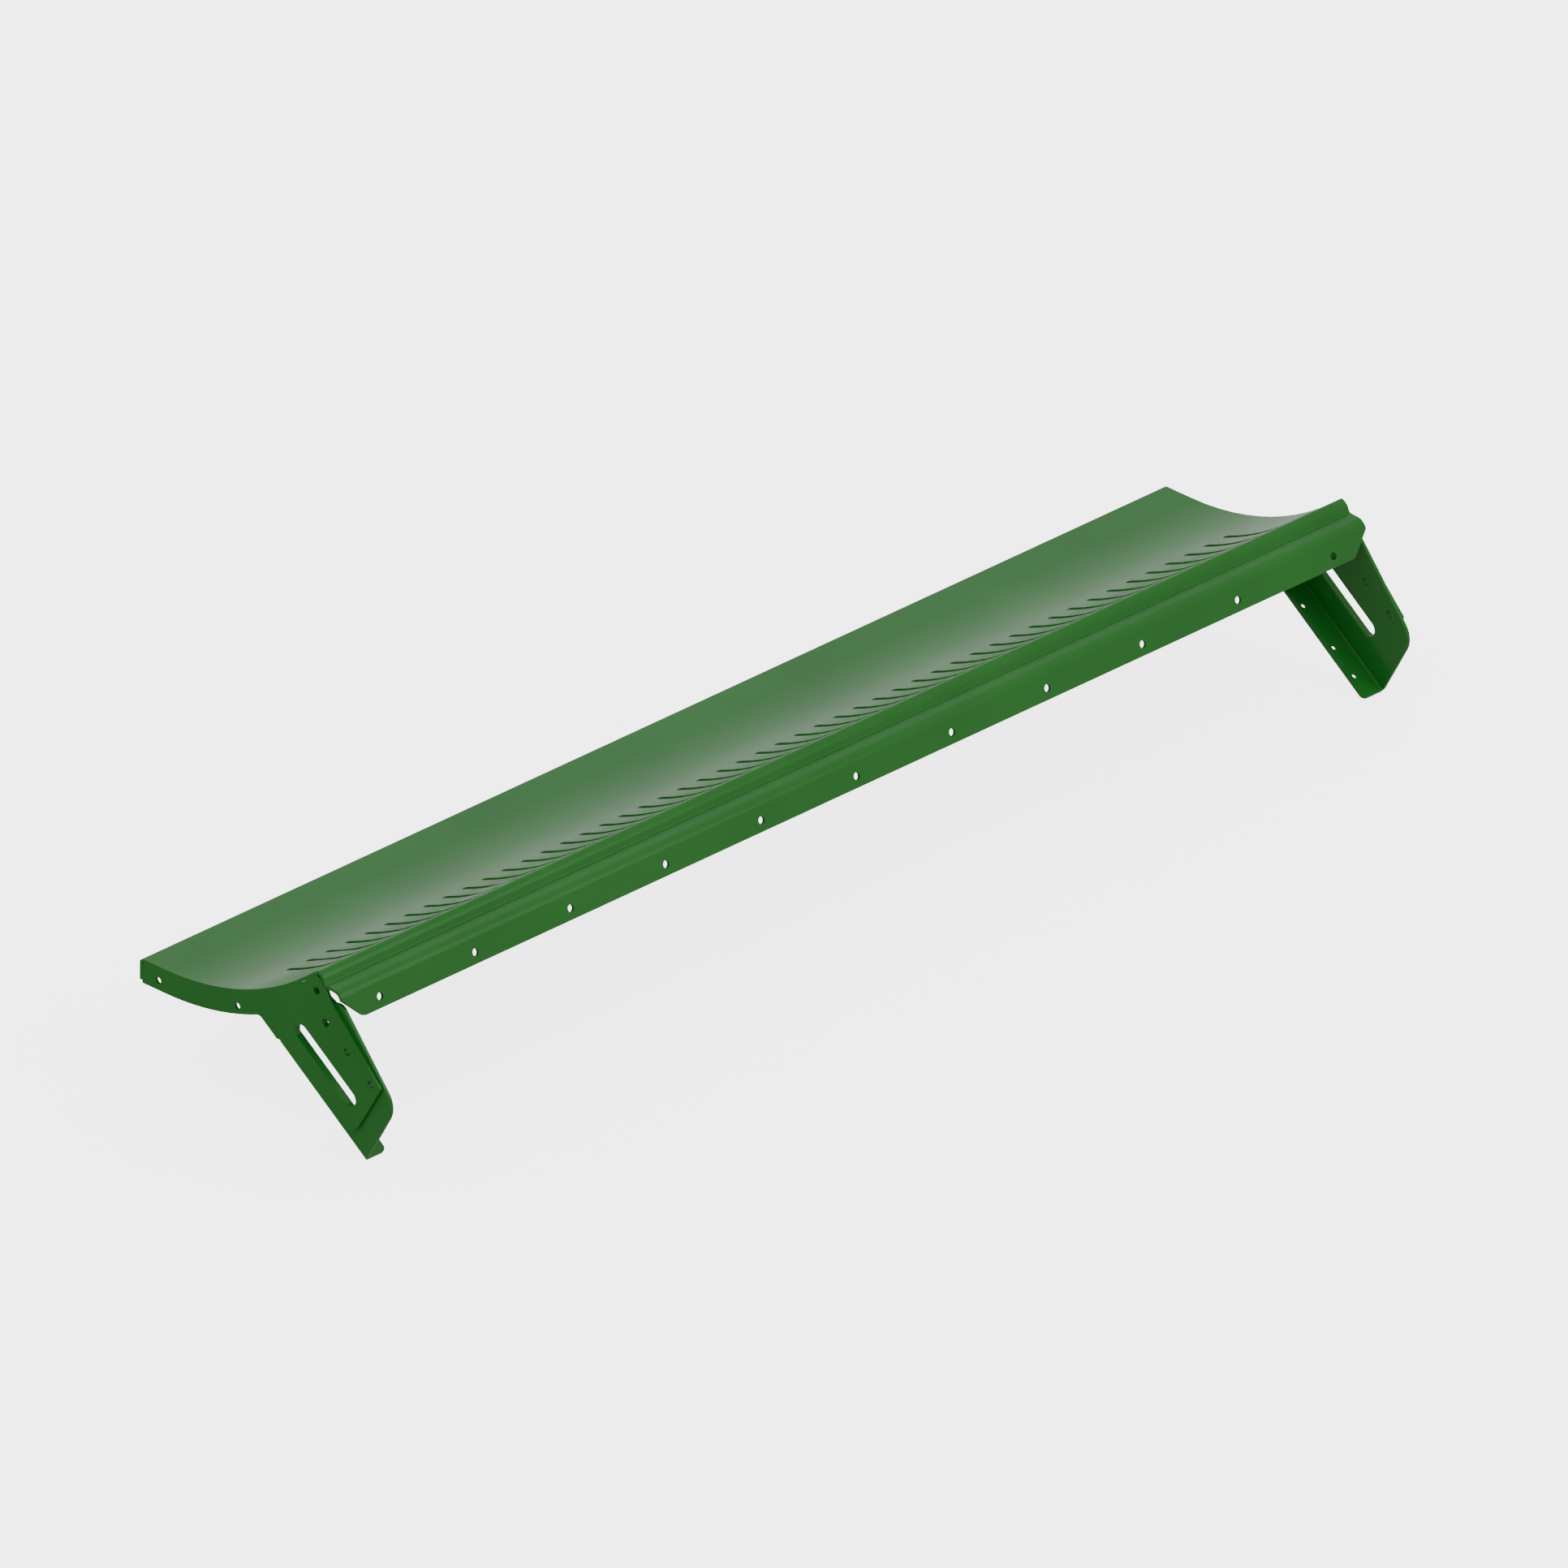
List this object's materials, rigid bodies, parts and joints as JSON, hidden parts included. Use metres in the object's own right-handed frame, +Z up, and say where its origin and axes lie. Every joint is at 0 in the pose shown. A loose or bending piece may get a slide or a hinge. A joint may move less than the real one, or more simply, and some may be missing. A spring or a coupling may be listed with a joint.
{
  "type": "slotted deck panel",
  "caption": "Curved sheet-steel deck with a comb of narrow slots and a drilled front apron, carried on flanged end legs with long slots for bolting into a frame.",
  "frame": {"origin": "centre of the footprint, at the lowest point of the legs", "axes": "+X along the deck, -Y towards the drilled apron and the legs' feet, +Y towards the rear lip, +Z up"},
  "size_m": [1.606, 0.3904, 0.2137],
  "materials": {
    "green_paint": "gloss"
  },
  "bodies": {
    "root": {"deck": "green_paint", "left_end_plate": "green_paint", "right_end_plate": "green_paint", "left_leg_bracket": "green_paint", "right_leg_bracket": "green_paint"}
  },
  "joints": []
}
